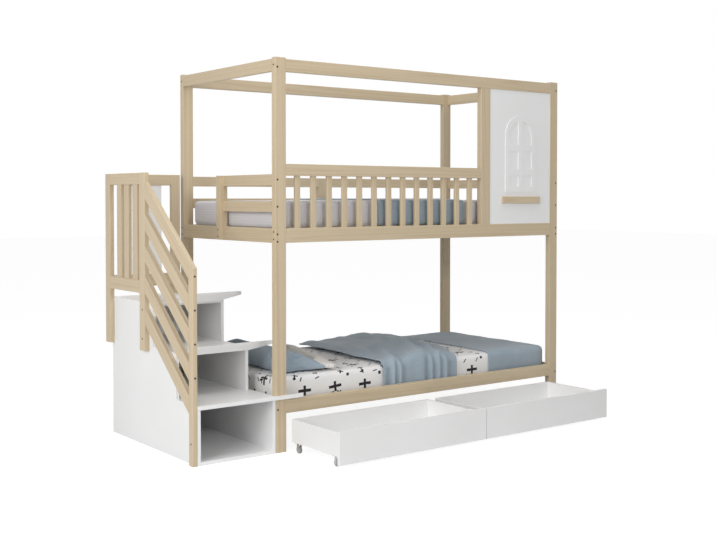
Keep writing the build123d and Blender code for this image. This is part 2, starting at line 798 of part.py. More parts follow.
def pillow_form(middle, length, width, thickness, turn):
    """A pillow lying on the lower mattress, with full sides drawn in between its corners."""
    bottom = lower_deck + mattress_thickness + 2 * soft_clearance
    with BuildPart() as form:
        for share, inset_share in pillow_levels:
            inset = inset_share * width
            half_x = width / 2 - inset
            half_y = length / 2 - inset
            drawn_in = 2 * half_x / width
            waist = pillow_waist * drawn_in
            plane = Plane(origin=(middle[0], middle[1], bottom + share * thickness)).rotated((0, 0, turn))
            with BuildSketch(plane) as outline:
                with BuildLine():
                    ThreePointArc((-half_x, -half_y), (0, waist - half_y), (half_x, -half_y))
                    ThreePointArc((half_x, -half_y), (half_x - waist, 0), (half_x, half_y))
                    ThreePointArc((half_x, half_y), (0, half_y - waist), (-half_x, half_y))
                    ThreePointArc((-half_x, half_y), (waist - half_x, 0), (-half_x, -half_y))
                make_face()
                fillet(outline.vertices(), pillow_corner * drawn_in)
        loft()
        split(bisect_by=Plane.XY.offset(bottom), keep=Keep.TOP)
    return form.part


pillow_middle = (
    mattress_left + 2 * pillow_space + pillow_width / 2,
    mattress_front + pillow_front + pillow_length / 2,
)
small_pillow_middle = (
    bed_left + duvet_start - pillow_space - small_pillow_width / 2,
    mattress_front + small_pillow_front + small_pillow_length / 2,
)
with BuildPart() as pillows:
    add(pillow_form(pillow_middle, pillow_length, pillow_width, pillow_thickness, pillow_turn))
    add(pillow_form(small_pillow_middle, small_pillow_length, small_pillow_width, small_pillow_thickness, 0))
finish(pillows, "pillows")

# Duvet: it lies in soft swells on the lower mattress and hangs in folds inside the front rail
duvet_inner = mattress_front - soft_clearance
duvet_floor = lower_deck + mattress_thickness + 2 * soft_clearance
duvet_hem = lower_deck + blanket_hem_rise
duvet_back = mattress_front + mattress_width - duvet_side
with BuildPart() as duvet:
    for index, (height, fold) in enumerate(zip(duvet_heights, duvet_folds)):
        x = bed_left + duvet_start + index * duvet_width / (len(duvet_heights) - 1)
        outer = mattress_front - duvet_side + fold
        shoulder = duvet_floor + height * duvet_edge_share
        bend = duvet_round * (1 - 0.5**0.5)
        with BuildSketch(Plane.YZ.offset(x)):
            with BuildLine():
                Line((outer, duvet_hem), (duvet_inner, duvet_hem))
                Line((duvet_inner, duvet_hem), (duvet_inner, duvet_floor))
                Line((duvet_inner, duvet_floor), (duvet_back, duvet_floor))
                Line((duvet_back, duvet_floor), (duvet_back, shoulder))
                ThreePointArc(
                    (duvet_back, shoulder),
                    ((duvet_back + outer) / 2, duvet_floor + height),
                    (outer + duvet_round, shoulder),
                )
                ThreePointArc(
                    (outer + duvet_round, shoulder),
                    (outer + bend, shoulder - bend),
                    (outer, shoulder - duvet_round),
                )
                Line((outer, shoulder - duvet_round), (outer, duvet_hem))
            make_face()
    loft()
finish(duvet, "duvet")


def blanket(deck, start, end):
    """A blanket over a mattress between two places along it, with its hem just above the deck."""
    hem = deck + blanket_hem_rise
    top = deck + mattress_thickness + 2 * blanket_thickness
    with BuildPart() as form:
        add(mattress_form(deck + soft_clearance, blanket_thickness))
        add(mattress_form(deck + soft_clearance, soft_clearance), mode=Mode.SUBTRACT)
        with BuildPart(mode=Mode.INTERSECT):
            bar((start, end), (inner_front, inner_back), (hem, top))
    return form.part


mattress_right = mattress_left + mattress_length
with BuildPart() as foot_blanket:
    add(blanket(lower_deck, bed_left + foot_blanket_start, mattress_right + blanket_thickness))
finish(foot_blanket, "foot_blanket")

upper_blanket_left = bed_left + upper_blanket_start
with BuildPart() as upper_blanket:
    add(blanket(upper_deck, upper_blanket_left, upper_blanket_left + upper_blanket_width))
finish(upper_blanket, "upper_blanket")
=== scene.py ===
"""Looks of the bunk bed: pine bars, white boards, steel and wheels, bedding, studio and camera."""

import json
import logging
import math
from dataclasses import dataclass
from enum import Enum
from typing import Callable, Sequence, Union

import bmesh
import bpy
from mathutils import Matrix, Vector, noise

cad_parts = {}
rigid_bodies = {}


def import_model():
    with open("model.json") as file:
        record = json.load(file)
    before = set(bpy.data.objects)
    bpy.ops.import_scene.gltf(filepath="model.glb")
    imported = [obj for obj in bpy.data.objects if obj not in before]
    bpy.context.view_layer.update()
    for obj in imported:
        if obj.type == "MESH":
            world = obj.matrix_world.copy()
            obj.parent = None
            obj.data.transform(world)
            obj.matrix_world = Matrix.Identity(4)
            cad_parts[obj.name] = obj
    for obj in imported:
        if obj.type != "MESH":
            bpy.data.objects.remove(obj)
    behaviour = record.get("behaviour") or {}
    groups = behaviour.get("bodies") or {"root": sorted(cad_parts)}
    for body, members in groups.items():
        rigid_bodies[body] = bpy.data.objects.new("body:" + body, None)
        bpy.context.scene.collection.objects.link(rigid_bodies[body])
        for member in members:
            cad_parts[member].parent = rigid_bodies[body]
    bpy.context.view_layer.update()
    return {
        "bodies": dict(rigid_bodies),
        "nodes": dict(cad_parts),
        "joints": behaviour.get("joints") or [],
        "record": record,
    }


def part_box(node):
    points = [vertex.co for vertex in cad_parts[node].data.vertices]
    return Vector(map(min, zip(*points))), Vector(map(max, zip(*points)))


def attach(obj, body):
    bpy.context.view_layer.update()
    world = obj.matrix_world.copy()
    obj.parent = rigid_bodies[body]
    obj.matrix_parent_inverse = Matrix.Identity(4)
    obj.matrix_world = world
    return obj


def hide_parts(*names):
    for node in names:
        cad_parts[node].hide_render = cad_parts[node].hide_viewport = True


LOG = logging.getLogger("bunk_bed")
Colour = tuple[float, float, float]
Socket = bpy.types.NodeSocket
Value = Union[float, Socket]
Piece = bpy.types.Object


class Grain(Enum):
    """The way the grain runs along the bars of a node."""

    ALONG_X = 0
    ALONG_Y = 1
    ALONG_Z = 2
    SLANTED = 3


class Recipe:
    """The node tree of one finish, with short calls for the nodes that the finishes share."""

    def __init__(self, name: str, roughness: float, specular: float = 0.5, sheen: float = 0.0) -> None:
        """Start a material with its plain shader values.

        Args:
            name: name of the material.
            roughness: roughness of the surface.
            specular: specular level of the surface.
            sheen: weight of the soft sheen that cloth shows.
        """
        self.material = bpy.data.materials.new(name)
        self.material.use_nodes = True
        self.tree = self.material.node_tree
        self.shader = self.tree.nodes["Principled BSDF"]
        self.shader.inputs["Roughness"].default_value = roughness
        self.shader.inputs["Specular IOR Level"].default_value = specular
        self.shader.inputs["Sheen Weight"].default_value = sheen
        self.shader.inputs["Sheen Roughness"].default_value = 0.5
        self.place = self.tree.nodes.new("ShaderNodeTexCoord").outputs["Object"]

    def feed(self, socket: Socket, value: Union[Value, Sequence[float]]) -> None:
        """Link a socket to another one, or set its plain value."""
        if isinstance(value, bpy.types.NodeSocket):
            self.tree.links.new(value, socket)
        elif socket.type == "RGBA" and len(value) == 3:
            socket.default_value = (*value, 1.0)
        else:
            socket.default_value = value

    def stretch(self, vector: Socket, scale: Sequence[float], turn: float = 0.0) -> Socket:
        """Scale a vector along the three axes, or turn it about X."""
        node = self.tree.nodes.new("ShaderNodeMapping")
        self.feed(node.inputs["Vector"], vector)
        node.inputs["Scale"].default_value = scale
        node.inputs["Rotation"].default_value = (turn, 0.0, 0.0)
        return node.outputs["Vector"]

    def noise(self, vector: Socket, scale: float, detail: float = 2.0, distortion: float = 0.0) -> Socket:
        """A cloud pattern between 0 and 1."""
        node = self.tree.nodes.new("ShaderNodeTexNoise")
        self.feed(node.inputs["Vector"], vector)
        node.inputs["Scale"].default_value = scale
        node.inputs["Detail"].default_value = detail
        node.inputs["Distortion"].default_value = distortion
        return node.outputs["Fac"]

    def wave(self, vector: Socket, scale: float, axis: str) -> Socket:
        """Straight sine bands across an axis."""
        node = self.tree.nodes.new("ShaderNodeTexWave")
        node.bands_direction = axis
        self.feed(node.inputs["Vector"], vector)
        node.inputs["Scale"].default_value = scale
        return node.outputs["Fac"]

    def math(self, work: str, first: Value, second: Value = 0.0) -> Socket:
        """One arithmetic step on two values."""
        node = self.tree.nodes.new("ShaderNodeMath")
        node.operation = work
        self.feed(node.inputs[0], first)
        self.feed(node.inputs[1], second)
        return node.outputs[0]

    def vector(self, work: str, first: Socket, second: Union[Socket, Sequence[float]]) -> Socket:
        """One arithmetic step on two vectors."""
        node = self.tree.nodes.new("ShaderNodeVectorMath")
        node.operation = work
        self.feed(node.inputs[0], first)
        if work == "SCALE":
            node.inputs["Scale"].default_value = second
        else:
            self.feed(node.inputs[1], second)
        return node.outputs["Vector"]

    def blend(self, share: Value, first: Union[Colour, Socket], second: Union[Colour, Socket]) -> Socket:
        """Mix two colours."""
        node = self.tree.nodes.new("ShaderNodeMix")
        node.data_type = "RGBA"
        self.feed(node.inputs[0], share)
        self.feed(node.inputs[6], first)
        self.feed(node.inputs[7], second)
        return node.outputs[2]

    def ramp(self, value: Socket, stops: Sequence[tuple[float, float]]) -> Socket:
        """Turn a value into another one by a list of stops."""
        node = self.tree.nodes.new("ShaderNodeValToRGB")
        self.feed(node.inputs["Fac"], value)
        points = node.color_ramp.elements
        while len(points) < len(stops):
            points.new(0.5)
        for point, (at, level) in zip(points, stops):
            point.position = at
            point.color = (level, level, level, 1.0)
        return node.outputs["Color"]

    def colour(self, value: Union[Colour, Socket]) -> None:
        """Give the shader its colour."""
        self.feed(self.shader.inputs["Base Color"], value)

    def bump(self, height: Socket, strength: float, distance: float) -> None:
        """Give the shader a relief."""
        node = self.tree.nodes.new("ShaderNodeBump")
        node.inputs["Strength"].default_value = strength
        node.inputs["Distance"].default_value = distance
        self.feed(node.inputs["Height"], height)
        self.feed(self.shader.inputs["Normal"], node.outputs["Normal"])


@dataclass(frozen=True)
class PineFinish:
    """Pale pine with growth rings and fine fibres along each bar, under a satin lacquer."""

    name: str
    grain: Grain
    pale: Colour = (0.60, 0.497, 0.345)
    ring: Colour = (0.43, 0.315, 0.18)
    slant: float = math.atan(0.815)

    def run(self, along: float, across: float) -> tuple[float, float, float]:
        """Scales of a pattern that is long along the grain.

        Args:
            along: scale along the grain.
            across: scale across it.

        Returns:
            The three scales.
        """
        scales = [across, across, across]
        scales[Grain.ALONG_Y.value if self.grain is Grain.SLANTED else self.grain.value] = along
        return tuple(scales)

    def build(self) -> bpy.types.Material:
        """Make the material.

        Returns:
            The finished material.
        """
        recipe = Recipe(self.name, roughness=0.44, specular=0.45)
        place = recipe.place
        if self.grain is Grain.SLANTED:
            place = recipe.stretch(place, (1.0, 1.0, 1.0), -self.slant)
        rings = recipe.noise(recipe.stretch(place, self.run(0.2, 13.0)), 1.0, 1.0, 0.1)
        lines = recipe.math("PINGPONG", recipe.math("MULTIPLY", rings, 13.0), 0.5)
        late = recipe.ramp(recipe.math("MULTIPLY", lines, 2.0), ((0.0, 0.0), (0.6, 0.08), (1.0, 0.36)))
        fibres = recipe.noise(recipe.stretch(place, self.run(7.0, 330.0)), 1.0, 3.0)
        tone = recipe.noise(recipe.stretch(place, self.run(0.08, 5.3)), 1.0, 1.0)
        wood = recipe.blend(late, self.pale, self.ring)
        wood = recipe.blend(recipe.math("MULTIPLY", fibres, 0.22), wood, self.ring)
        shift = recipe.tree.nodes.new("ShaderNodeHueSaturation")
        recipe.feed(shift.inputs["Color"], wood)
        recipe.feed(shift.inputs["Value"], recipe.math("ADD", recipe.math("MULTIPLY", tone, 0.26), 0.88))
        recipe.colour(shift.outputs["Color"])
        recipe.bump(recipe.math("ADD", fibres, recipe.math("MULTIPLY", late, 0.4)), 0.18, 0.0006)
        return recipe.material


@dataclass(frozen=True)
class BoardFinish:
    """White satin lacquer on board, with the faint unevenness of a sprayed coat."""

    name: str = "white_board"
    white: Colour = (0.86, 0.86, 0.86)
    shade: Colour = (0.81, 0.81, 0.805)

    def build(self) -> bpy.types.Material:
        """Make the material.

        Returns:
            The finished material.
        """
        recipe = Recipe(self.name, roughness=0.36, specular=0.45)
        cloud = recipe.noise(recipe.place, 2.3, 2.0)
        recipe.colour(recipe.blend(recipe.ramp(cloud, ((0.35, 0.0), (0.75, 0.6))), self.white, self.shade))
        recipe.bump(recipe.noise(recipe.place, 420.0, 1.0), 0.05, 0.0004)
        return recipe.material


@dataclass(frozen=True)
class MetalFinish:
    """Sheet or bolt steel with a brushed or burnished skin."""

    name: str
    bright: Colour
    dull: Colour
    roughness: float
    metallic: float

    def build(self) -> bpy.types.Material:
        """Make the material.

        Returns:
            The finished material.
        """
        recipe = Recipe(self.name, roughness=self.roughness)
        recipe.shader.inputs["Metallic"].default_value = self.metallic
        spots = recipe.noise(recipe.place, 180.0, 3.0)
        recipe.colour(recipe.blend(spots, self.bright, self.dull))
        recipe.bump(recipe.noise(recipe.stretch(recipe.place, (1.0, 1.0, 0.1)), 900.0, 2.0), 0.15, 0.0002)
        return recipe.material


@dataclass(frozen=True)
class WheelFinish:
    """Grey moulded plastic, a little scuffed where it rolls."""

    name: str = "wheel_plastic"
    grey: Colour = (0.33, 0.33, 0.335)
    scuffed: Colour = (0.42, 0.42, 0.42)

    def build(self) -> bpy.types.Material:
        """Make the material.

        Returns:
            The finished material.
        """
        recipe = Recipe(self.name, roughness=0.55)
        scuffs = recipe.ramp(recipe.noise(recipe.place, 160.0, 4.0), ((0.45, 0.0), (0.7, 1.0)))
        recipe.colour(recipe.blend(scuffs, self.grey, self.scuffed))
        recipe.bump(recipe.noise(recipe.place, 700.0, 2.0), 0.1, 0.0003)
        return recipe.material


def threads(recipe: Recipe, per_metre: float) -> Socket:
    """A plain weave on object coordinates: threads along X crossed by threads along Y and Z.

    Args:
        recipe: the finish that gets the weave.
        per_metre: threads in a metre.

    Returns:
        The height of the weave.
    """
    scale = per_metre / 20.0
    across = recipe.wave(recipe.place, scale, "X")
    level, upright = (recipe.wave(recipe.place, scale, axis) for axis in "YZ")
    along = recipe.math("MULTIPLY", level, upright)
    return recipe.math("MAXIMUM", across, along)


@dataclass(frozen=True)
class CottonFinish:
    """Cotton in one blue, with a fine weave and soft creases; its tone is painted shade, a blend from a lit
    to a shaded copy of the blue over soft patches, mixed with yarn slubs.
    """

    name: str
    # a lit and a shaded copy of the one blue, for painted shade
    lit: Colour
    shaded: Colour
    per_metre: float = 900.0

    def build(self) -> bpy.types.Material:
        """Make the material.

        Returns:
            The finished material.
        """
        recipe = Recipe(self.name, roughness=0.86, specular=0.25, sheen=0.25)
        # painted shade: this soft cloud pulls the colour towards the shaded copy, and it also gives the
        # crease bump
        crease_bump_and_shade = recipe.noise(recipe.place, 7.0, 4.0, 0.4)
        slubs = recipe.noise(recipe.stretch(recipe.place, (14.0, 260.0, 260.0)), 1.0, 2.0)
        tone = recipe.math("MULTIPLY", recipe.math("ADD", crease_bump_and_shade, slubs), 0.5)
        # colour: painted shade over the soft patches, mixed with the real slubs of the yarn
        recipe.colour(recipe.blend(recipe.ramp(tone, ((0.3, 0.0), (0.7, 1.0))), self.lit, self.shaded))
        relief = recipe.math("ADD", threads(recipe, self.per_metre), recipe.math("MULTIPLY", crease_bump_and_shade, 1.5))
        recipe.bump(relief, 0.25, 0.0008)
        return recipe.material


@dataclass(frozen=True)
class KnitFinish:
    """Light grey knitted cover of a mattress, with fine courses of stitches."""

    name: str = "mattress_knit"
    pale: Colour = (0.74, 0.73, 0.75)
    grey: Colour = (0.58, 0.57, 0.61)

    def build(self) -> bpy.types.Material:
        """Make the material.

        Returns:
            The finished material.
        """
        recipe = Recipe(self.name, roughness=0.92, specular=0.2, sheen=0.3)
        courses = threads(recipe, 420.0)
        heather = recipe.noise(recipe.stretch(recipe.place, (70.0, 70.0, 240.0)), 1.0, 3.0)
        share = recipe.math("MULTIPLY", recipe.math("ADD", courses, heather), 0.5)
        recipe.colour(recipe.blend(share, self.grey, self.pale))
        recipe.bump(courses, 0.35, 0.0012)
        return recipe.material


@dataclass(frozen=True)
class Mark:
    """One kind of mark on the sheet: sizes in metres, and the way it is strewn."""

    cell: float
    arm: float
    half_width: float
    shift: tuple[float, float]
    wander: float
    turn: float
    kept: float
    second_stroke: float = 0.0


@dataclass(frozen=True)
class CrossSheetFinish:
    """White cotton strewn with plain hand-drawn crosses, dashes and dots in black."""

    name: str = "cross_sheet"
    white: Colour = (0.88, 0.875, 0.875)
    black: Colour = (0.015, 0.015, 0.018)
    unsteady: float = 0.0045
    marks: tuple[Mark, ...] = (
        Mark(0.200, 0.041, 0.0078, (0.08, 0.008), 0.04, 0.35, 1.0, 0.66),
        Mark(0.148, 0.019, 0.0048, (0.125, 0.136), 0.25, 2.2, 0.8, 0.9),
        Mark(0.111, 0.0085, 0.0085, (0.02, 0.08), 0.30, 1.0, 0.5),
        Mark(0.097, 0.014, 0.0036, (0.06, 0.01), 0.30, 3.0, 0.7),
    )

    def stamp(self, recipe: Recipe, flat: Socket, mark: Mark) -> Socket:
        """Where one kind of mark covers the sheet.

        Args:
            recipe: the finish that gets the marks.
            flat: place on the flat cloth, in metres.
            mark: the kind of mark.

        Returns:
            1 on a mark and 0 beside it.
        """
        grid = recipe.vector("SCALE", recipe.vector("ADD", flat, (*mark.shift, 0.0)), 1.0 / mark.cell)
        cell = recipe.vector("FLOOR", grid, (0.0, 0.0, 0.0))
        chance = recipe.tree.nodes.new("ShaderNodeTexWhiteNoise")
        chance.noise_dimensions = "2D"
        recipe.feed(chance.inputs["Vector"], cell)
        middle = recipe.vector("SUBTRACT", chance.outputs["Color"], (0.5, 0.5, 0.5))
        local = recipe.vector("SUBTRACT", recipe.vector("FRACTION", grid, (0.0, 0.0, 0.0)), (0.5, 0.5, 0.0))
        local = recipe.vector("SUBTRACT", local, recipe.vector("SCALE", middle, mark.wander))
        turned = recipe.tree.nodes.new("ShaderNodeVectorRotate")
        turned.rotation_type = "Z_AXIS"
        recipe.feed(turned.inputs["Vector"], local)
        swing = recipe.math("MULTIPLY", recipe.math("SUBTRACT", chance.outputs["Value"], 0.5), mark.turn)
        recipe.feed(turned.inputs["Angle"], swing)
        rough = recipe.tree.nodes.new("ShaderNodeTexNoise")
        recipe.feed(rough.inputs["Vector"], flat)
        rough.inputs["Scale"].default_value = 95.0
        wobble = recipe.vector("SUBTRACT", rough.outputs["Color"], (0.5, 0.5, 0.5))
        wobble = recipe.vector("SCALE", wobble, self.unsteady / mark.cell)
        drawn = recipe.vector("ADD", turned.outputs["Vector"], wobble)
        parts = recipe.tree.nodes.new("ShaderNodeSeparateXYZ")
        recipe.feed(parts.inputs[0], drawn)
        x = recipe.math("ABSOLUTE", parts.outputs[0])
        y = recipe.math("ABSOLUTE", parts.outputs[1])
        arm = mark.arm / mark.cell
        half = mark.half_width / mark.cell
        stroke = recipe.math(
            "MULTIPLY", recipe.math("LESS_THAN", x, arm), recipe.math("LESS_THAN", y, half)
        )
        if mark.second_stroke > 0:
            reach = recipe.math("LESS_THAN", y, arm * mark.second_stroke)
            second = recipe.math("MULTIPLY", recipe.math("LESS_THAN", x, half), reach)
            stroke = recipe.math("MAXIMUM", stroke, second)
        wanted = recipe.math("LESS_THAN", chance.outputs["Value"], mark.kept)
        return recipe.math("MULTIPLY", stroke, wanted)

    def build(self) -> bpy.types.Material:
        """Make the material.

        Returns:
            The finished material.
        """
        recipe = Recipe(self.name, roughness=0.85, specular=0.25, sheen=0.2)
        flat = recipe.tree.nodes.new("ShaderNodeUVMap")
        flat.uv_map = "flat_cloth"
        ink: Value = 0.0
        for mark in self.marks:
            ink = recipe.math("MAXIMUM", ink, self.stamp(recipe, flat.outputs["UV"], mark))
        recipe.colour(recipe.blend(ink, self.white, self.black))
        recipe.bump(threads(recipe, 1000.0), 0.2, 0.0005)
        return recipe.material


@dataclass(frozen=True)
class LinedCottonFinish:
    """Cream cotton with fine crossing lines, for the small pillow."""

    name: str = "lined_cotton"
    cream: Colour = (0.80, 0.78, 0.74)
    line: Colour = (0.34, 0.33, 0.31)
    spacing: float = 0.017
    line_share: float = 0.09

    def build(self) -> bpy.types.Material:
        """Make the material.

        Returns:
            The finished material.
        """
        recipe = Recipe(self.name, roughness=0.88, specular=0.25, sheen=0.2)
        grid = recipe.vector("SCALE", recipe.place, 1.0 / self.spacing)
        parts = recipe.tree.nodes.new("ShaderNodeSeparateXYZ")
        recipe.feed(parts.inputs[0], recipe.vector("FRACTION", grid, (0.0, 0.0, 0.0)))
        first = recipe.math("LESS_THAN", parts.outputs[0], self.line_share)
        second = recipe.math("LESS_THAN", parts.outputs[1], self.line_share)
        ink = recipe.math("MULTIPLY", recipe.math("MAXIMUM", first, second), 0.6)
        recipe.colour(recipe.blend(ink, self.cream, self.line))
        recipe.bump(threads(recipe, 900.0), 0.25, 0.0006)
        return recipe.material


def dress(frame: dict, nodes: Sequence[str], material: bpy.types.Material) -> None:
    """Give CAD nodes a material.

    Args:
        nodes: names of the nodes.
        material: the finish.
    """
    for name in nodes:
        node = frame["nodes"][name]
        if not node.material_slots:
            node.data.materials.append(material)
        for slot in node.material_slots:
            slot.material = material
    LOG.info("%s dresses %d nodes", material.name, len(nodes))


class Bench:
    """Modelling steps on one piece at a time, with nothing else selected."""

    @staticmethod
    def pick(piece: Piece) -> None:
        """Make a piece the only one selected."""
        bpy.ops.object.select_all(action="DESELECT")
        piece.select_set(True)
        bpy.context.view_layer.objects.active = piece

    @staticmethod
    def block(name: str, low: Vector, high: Vector) -> Piece:
        """A plain block between two corners, as a start.

        Args:
            name: name of the piece.
            low: lowest corner.
            high: highest corner.

        Returns:
            The block, with its place in its mesh.
        """
        bpy.ops.object.select_all(action="DESELECT")
        bpy.ops.mesh.primitive_cube_add(size=1.0, location=(low + high) / 2)
        piece = bpy.context.active_object
        piece.name = name
        piece.scale = high - low
        bpy.ops.object.transform_apply(location=True, rotation=True, scale=True)
        return piece

    @staticmethod
    def sheet(name: str, columns: int, rows: int, form: Callable[[float, float], Vector]) -> Piece:
        """A grid laid out by a form.

        Args:
            name: name of the piece.
            columns: squares across.
            rows: squares along.
            form: place of a point of the cloth, given its shares across and along.

        Returns:
            The grid in its form.
        """
        bpy.ops.object.select_all(action="DESELECT")
        bpy.ops.mesh.primitive_grid_add(x_subdivisions=columns, y_subdivisions=rows, size=1.0)
        piece = bpy.context.active_object
        piece.name = name
        for vertex in piece.data.vertices:
            vertex.co = form(vertex.co.x + 0.5, vertex.co.y + 0.5)
        return piece

    @staticmethod
    def bevel(piece: Piece, wanted: Callable[[bmesh.types.BMEdge], bool], width: float, steps: int) -> None:
        """Round the wanted edges of a piece.

        Args:
            piece: the piece.
            wanted: says which edges are rounded.
            width: width of the rounding.
            steps: faces along it.
        """
        Bench.pick(piece)
        bpy.ops.object.mode_set(mode="EDIT")
        bpy.ops.mesh.select_mode(type="EDGE")
        bpy.ops.mesh.select_all(action="DESELECT")
        mesh = bmesh.from_edit_mesh(piece.data)
        for edge in mesh.edges:
            edge.select_set(wanted(edge))
        bmesh.update_edit_mesh(piece.data)
        bpy.ops.mesh.bevel(offset=width, segments=steps, affect="EDGES")
        bpy.ops.object.mode_set(mode="OBJECT")

    @staticmethod
    def cut(piece: Piece, point: Vector, normal: Vector) -> None:
        """Cut away what lies behind a plane, and leave the cut open."""
        Bench.pick(piece)
        bpy.ops.object.mode_set(mode="EDIT")
        bpy.ops.mesh.select_all(action="SELECT")
        bpy.ops.mesh.bisect(plane_co=point, plane_no=normal, clear_inner=True)
        bpy.ops.object.mode_set(mode="OBJECT")

    @staticmethod
    def modify(piece: Piece, kind: str, **values: object) -> None:
        """Add a modifier with its values, and apply it."""
        Bench.pick(piece)
        step = piece.modifiers.new(kind.lower(), kind)
        for name, value in values.items():
            setattr(step, name, value)
        bpy.ops.object.modifier_apply(modifier=step.name)

    @staticmethod
    def smooth(piece: Piece) -> None:
        """Shade a piece smoothly."""
        Bench.pick(piece)
        bpy.ops.object.shade_smooth()

    @staticmethod
    def slab(name: str, low: Vector, high: Vector, corner: float, edge: float, voxel: float) -> Piece:
        """A slab of foam or cloth with rounded corners and edges, in even small faces.

        Args:
            name: name of the piece.
            low: lowest corner.
            high: highest corner.
            corner: radius of the upright corners.
            edge: radius of the level edges.
            voxel: size of its faces.

        Returns:
            The slab.
        """
        piece = Bench.block(name, low, high)

        def upright(line: bmesh.types.BMEdge) -> bool:
            """Whether an edge stands upright."""
            return abs(line.verts[0].co.z - line.verts[1].co.z) > edge

        def rim(line: bmesh.types.BMEdge) -> bool:
            """Whether an edge runs round the top or the bottom."""
            return abs(line.verts[0].co.z - line.verts[1].co.z) < edge / 10

        Bench.bevel(piece, upright, corner, 8)
        Bench.bevel(piece, rim, edge, 4)
        Bench.modify(piece, "REMESH", mode="VOXEL", voxel_size=voxel)
        Bench.modify(piece, "SMOOTH", factor=0.5, iterations=4)
        return piece

    @staticmethod
    def inflate(piece: Piece, pressure: float, steps: int, cap: float) -> None:
        """Blow a piece up as stuffed cloth, with no point moved further than the cap.

        Args:
            piece: the flat start.
            pressure: pressure of the filling.
            steps: frames of the simulation.
            cap: longest way that a point may move.
        """
        scene = bpy.context.scene
        start = [vertex.co.copy() for vertex in piece.data.vertices]
        Bench.pick(piece)
        cloth = piece.modifiers.new("cloth", "CLOTH")
        cloth.settings.quality = 5
        cloth.settings.use_pressure = True
        cloth.settings.uniform_pressure_force = pressure
        cloth.settings.effector_weights.gravity = 0.0
        cloth.point_cache.frame_end = steps
        for step in range(1, steps + 1):
            scene.frame_set(step)
        bpy.ops.object.modifier_apply(modifier=cloth.name)
        scene.frame_set(1)
        for vertex, place in zip(piece.data.vertices, start):
            way = vertex.co - place
            if way.length > cap:
                vertex.co = place + way * (cap / way.length)


def ride_in_frame(piece: Piece, material: bpy.types.Material, nodes: Sequence[str]) -> None:
    """Finish a soft piece: its material, the nodes it stands for and the body it rides on."""
    Bench.smooth(piece)
    piece.data.materials.clear()
    piece.data.materials.append(material)
    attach(piece, "frame")
    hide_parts(*nodes)
    LOG.info("%s: %d faces", piece.name, len(piece.data.polygons))


def lay_flat(piece: Piece, low: Vector, high: Vector, side: float) -> None:
    """Give a covered slab the place of each point on the flat cloth as its UV map.

    Args:
        piece: the slab.
        low: lowest corner of the slab.
        high: highest corner of the slab.
        side: how near to a side a point counts as on its drop.
    """
    layer = piece.data.uv_layers.new(name="flat_cloth")
    for loop in piece.data.loops:
        place = piece.data.vertices[loop.vertex_index].co
        drop = high.z - place.z
        u = place.x
        v = place.y
        if place.x < low.x + side:
            u -= drop
        elif place.x > high.x - side:
            u += drop
        if place.y < low.y + side:
            v -= drop
        elif place.y > high.y - side:
            v += drop
        layer.data[loop.index].uv = (u, v)
    piece.data.uv_layers.active = layer


def crown(piece: Piece, low: Vector, high: Vector, rise: float, uneven: float) -> None:
    """Raise the top of a slab a little towards its middle, with the unevenness of stuffed cloth.

    Args:
        piece: the slab.
        low: lowest corner.
        high: highest corner.
        rise: how far the middle stands above the edges.
        uneven: depth of the unevenness.
    """
    middle = (low + high) / 2
    half = (high - low) / 2
    for vertex in piece.data.vertices:
        place = vertex.co
        across = 1 - ((place.x - middle.x) / half.x) ** 4
        along = 1 - ((place.y - middle.y) / half.y) ** 4
        lift = max(0.0, (place.z - middle.z) / half.z)
        ripple = noise.noise(Vector((place.x * 4, place.y * 6, place.z * 5))) * uneven
        vertex.co.z += lift * (rise * (max(0.0, across * along) - 1) + ripple)


@dataclass
class BedFrame:
    """The frame of the bed with its guards, window panel and slats."""

    upright: tuple[str, ...] = (
        "front_posts", "rear_posts", "guard_balusters", "window_post", "back_guard_post", "entry_post",
    )
    lengthwise: tuple[str, ...] = (
        "top_side_rails", "upper_side_rails", "lower_side_rails", "slat_cleats", "guard_cap",
        "window_sill", "back_guard_rails",
    )
    crosswise: tuple[str, ...] = (
        "top_end_rails", "upper_end_rails", "lower_end_rails", "right_guard_rails", "entry_rails",
    )
    slats: tuple[str, ...] = ("lower_slats", "upper_slats")
    boards: tuple[str, ...] = ("window_panel",)
    bolts: tuple[str, ...] = ("frame_bolts",)

    def dress(self, frame: dict, finishes: "Finishes") -> None:
        """Give every node of the bed frame its finish."""
        dress(frame, self.upright, finishes.pine[Grain.ALONG_Z])
        dress(frame, self.lengthwise, finishes.pine[Grain.ALONG_X])
        dress(frame, self.crosswise, finishes.pine[Grain.ALONG_Y])
        dress(frame, self.slats, finishes.slats)
        dress(frame, self.boards, finishes.board)
        dress(frame, self.bolts, finishes.bolt)


@dataclass
class Staircase:
    """The storage staircase with its boards, nosings and handrail."""

    boards: tuple[str, ...] = (
        "stair_side_left", "stair_side_right", "stair_bottom_board", "stair_treads", "stair_platform",
        "stair_back", "stair_nosings", "rear_guard_boards",
    )
    upright: tuple[str, ...] = ("stair_front_post", "platform_posts", "platform_slats")
    crosswise: tuple[str, ...] = ("platform_rails",)
    lengthwise: tuple[str, ...] = ("rear_guard_rails",)
    slanted: tuple[str, ...] = ("slanted_rails",)
    bolts: tuple[str, ...] = ("stair_bolts",)

    def dress(self, frame: dict, finishes: "Finishes") -> None:
        """Give every node of the staircase its finish."""
        dress(frame, self.boards, finishes.board)
        dress(frame, self.upright, finishes.pine[Grain.ALONG_Z])
        dress(frame, self.crosswise, finishes.pine[Grain.ALONG_Y])
        dress(frame, self.lengthwise, finishes.pine[Grain.ALONG_X])
        dress(frame, self.slanted, finishes.pine[Grain.SLANTED])
        dress(frame, self.bolts, finishes.bolt)


